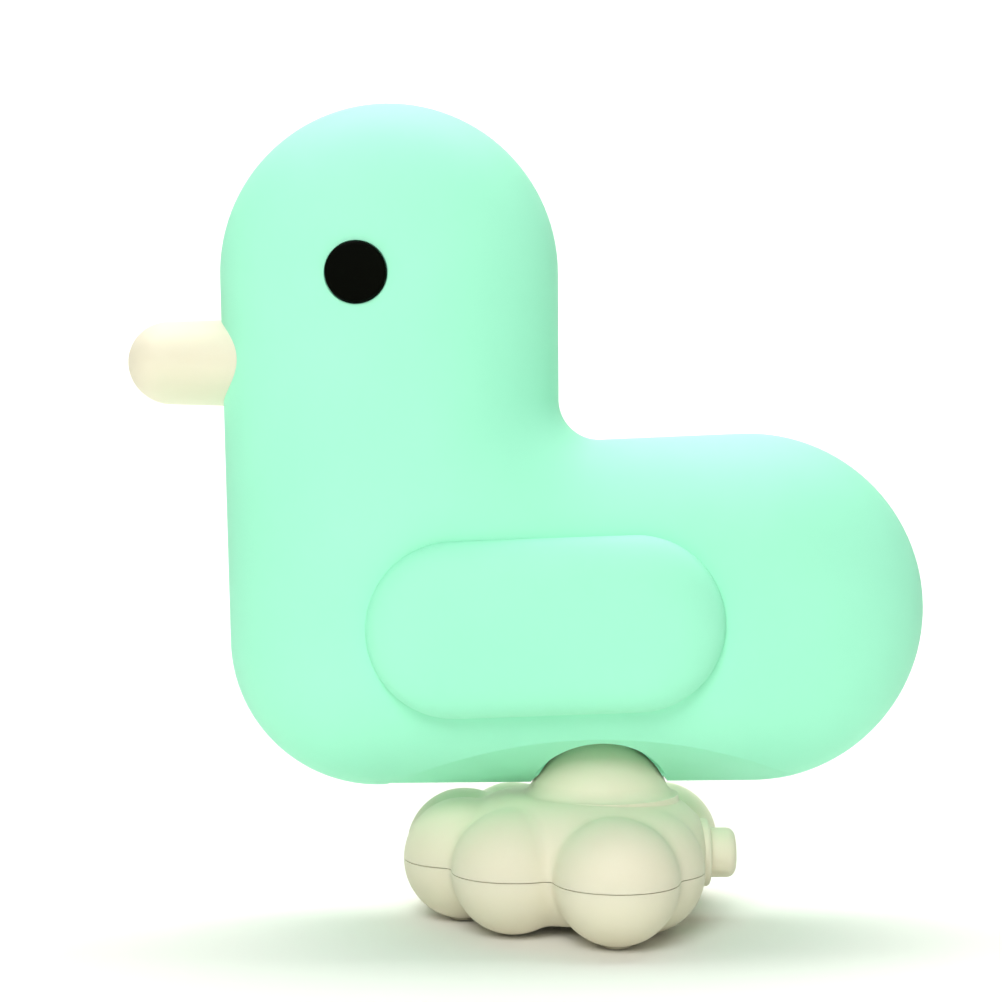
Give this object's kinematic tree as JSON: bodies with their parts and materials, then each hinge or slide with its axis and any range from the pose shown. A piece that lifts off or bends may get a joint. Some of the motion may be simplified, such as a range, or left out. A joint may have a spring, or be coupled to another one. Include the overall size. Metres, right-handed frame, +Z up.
{
  "type": "nodding desk bird",
  "caption": "Rounded toy bird that nods on a dome above a lobed battery base with a rear push button.",
  "frame": {"origin": "under the middle of the whole object, on the surface it stands on", "axes": "+Z up; the beak points along -X; the bird's sides face -Y and +Y"},
  "size_m": [0.142, 0.0648, 0.1458],
  "materials": {
    "mint_plastic": "soft-touch matte",
    "cream_plastic": "satin moulded",
    "black_plastic": "gloss",
    "white_plastic": "moulded",
    "steel": "machined",
    "brass": "plain",
    "copper_wire": "enamelled wire",
    "board": "lacquered",
    "rubber": "matte"
  },
  "bodies": {
    "base": {"upper_base_shell": "cream_plastic", "lower_base_shell": "cream_plastic", "rubber_feet": "rubber", "base_screws": "steel", "pivot_dome": "cream_plastic", "axle_bushes": "brass", "pivot_axle": "steel", "centring_spring": "steel", "coil_bobbin": "white_plastic", "coil_winding": "copper_wire", "coil_core": "steel", "circuit_board": "board", "control_chip": "black_plastic", "switch_body": "black_plastic", "button_collar": "cream_plastic", "coin_cell": "steel", "contact_plate": "brass"},
    "bird": {"left_body_shell": "mint_plastic", "right_body_shell": "mint_plastic", "left_wing": "mint_plastic", "right_wing": "mint_plastic", "left_eye": "black_plastic", "right_eye": "black_plastic", "beak": "cream_plastic", "shell_dowels": "steel", "pendulum_arm": "white_plastic", "arm_screws": "steel", "drive_magnet": "steel", "counterweight": "steel"},
    "button": {"push_button": "cream_plastic"},
    "door": {"battery_door": "cream_plastic"}
  },
  "joints": [
    {"name": "bird_nod", "type": "hinge", "parent": "base", "child": "bird", "pos_m": [0.0134, 0, 0.0199], "axis": [0, 1, 0], "range_deg": [-3, 3], "stiffness_Nm_per_rad": 0.15},
    {"name": "button_press", "type": "slide", "parent": "base", "child": "button", "axis": [-1, 0, 0], "range_m": [0, 0.0012], "stiffness_N_per_m": 800},
    {"name": "door_twist", "type": "hinge", "parent": "base", "child": "door", "pos_m": [0.0103, 0, 0.0021], "axis": [0, 0, -1], "range_deg": [0, 35]}
  ]
}
